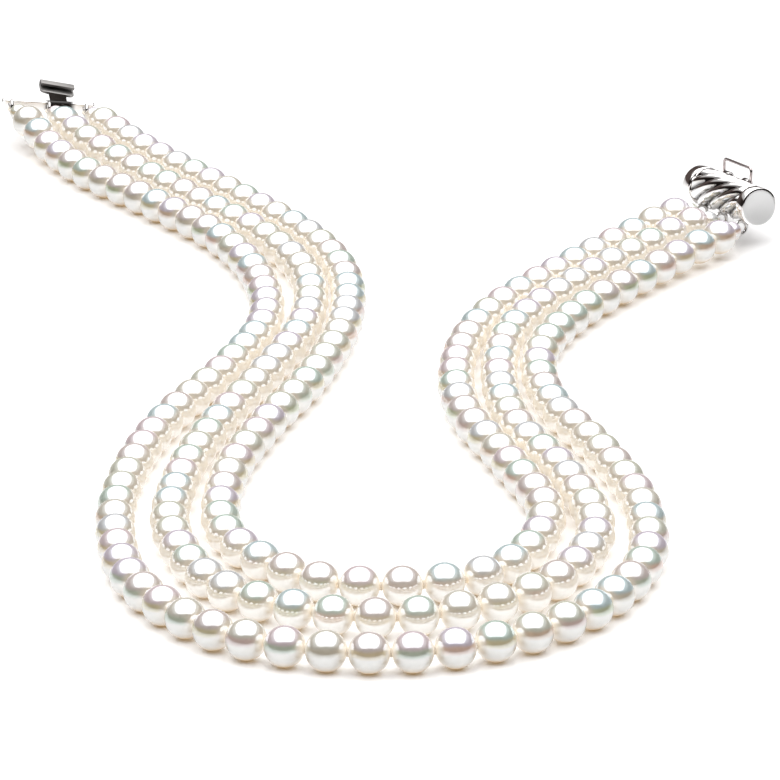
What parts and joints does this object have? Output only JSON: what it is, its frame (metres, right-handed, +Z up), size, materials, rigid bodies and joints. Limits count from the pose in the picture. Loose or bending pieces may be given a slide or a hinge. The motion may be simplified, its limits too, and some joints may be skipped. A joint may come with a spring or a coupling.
{
  "type": "multi strand necklace",
  "caption": "Multi-strand necklace of round white pearls on a rope-pattern silver barrel clasp with spring tongue and safety bail, laid open on a surface.",
  "frame": {"origin": "middle of the laid-out necklace's box, on the surface that it lies on", "axes": "+Z up from the surface, +Y from the front of the loop towards the two open ends, +X towards the barrel's side"},
  "size_m": [0.1309, 0.2613, 0.011],
  "materials": {
    "pearl": "lustrous white nacre with a faint pink and green overtone",
    "silk": "twisted cream silk",
    "polished_silver": "mirror polished silver",
    "satin_silver": "fine satin silver",
    "spring_silver": "worn sheet silver, slightly darkened"
  },
  "bodies": {
    "necklace": {"strand_outer": "pearl", "strand_middle": "pearl", "strand_inner": "pearl", "thread_outer": "silk", "thread_middle": "silk", "thread_inner": "silk", "clasp_barrel": "polished_silver", "end_cap_far": "satin_silver", "end_cap_near": "satin_silver", "end_bar": "polished_silver", "spring_tongue": "spring_silver"},
    "bail": {"safety_bail": "polished_silver"}
  },
  "joints": [
    {"name": "bail_swing", "type": "hinge", "parent": "necklace", "child": "bail", "pos_m": [0.05928, 0.06261, 0.00794], "axis": [0.4279, -0.9012, 0.068], "range_deg": [-120, 40]}
  ]
}
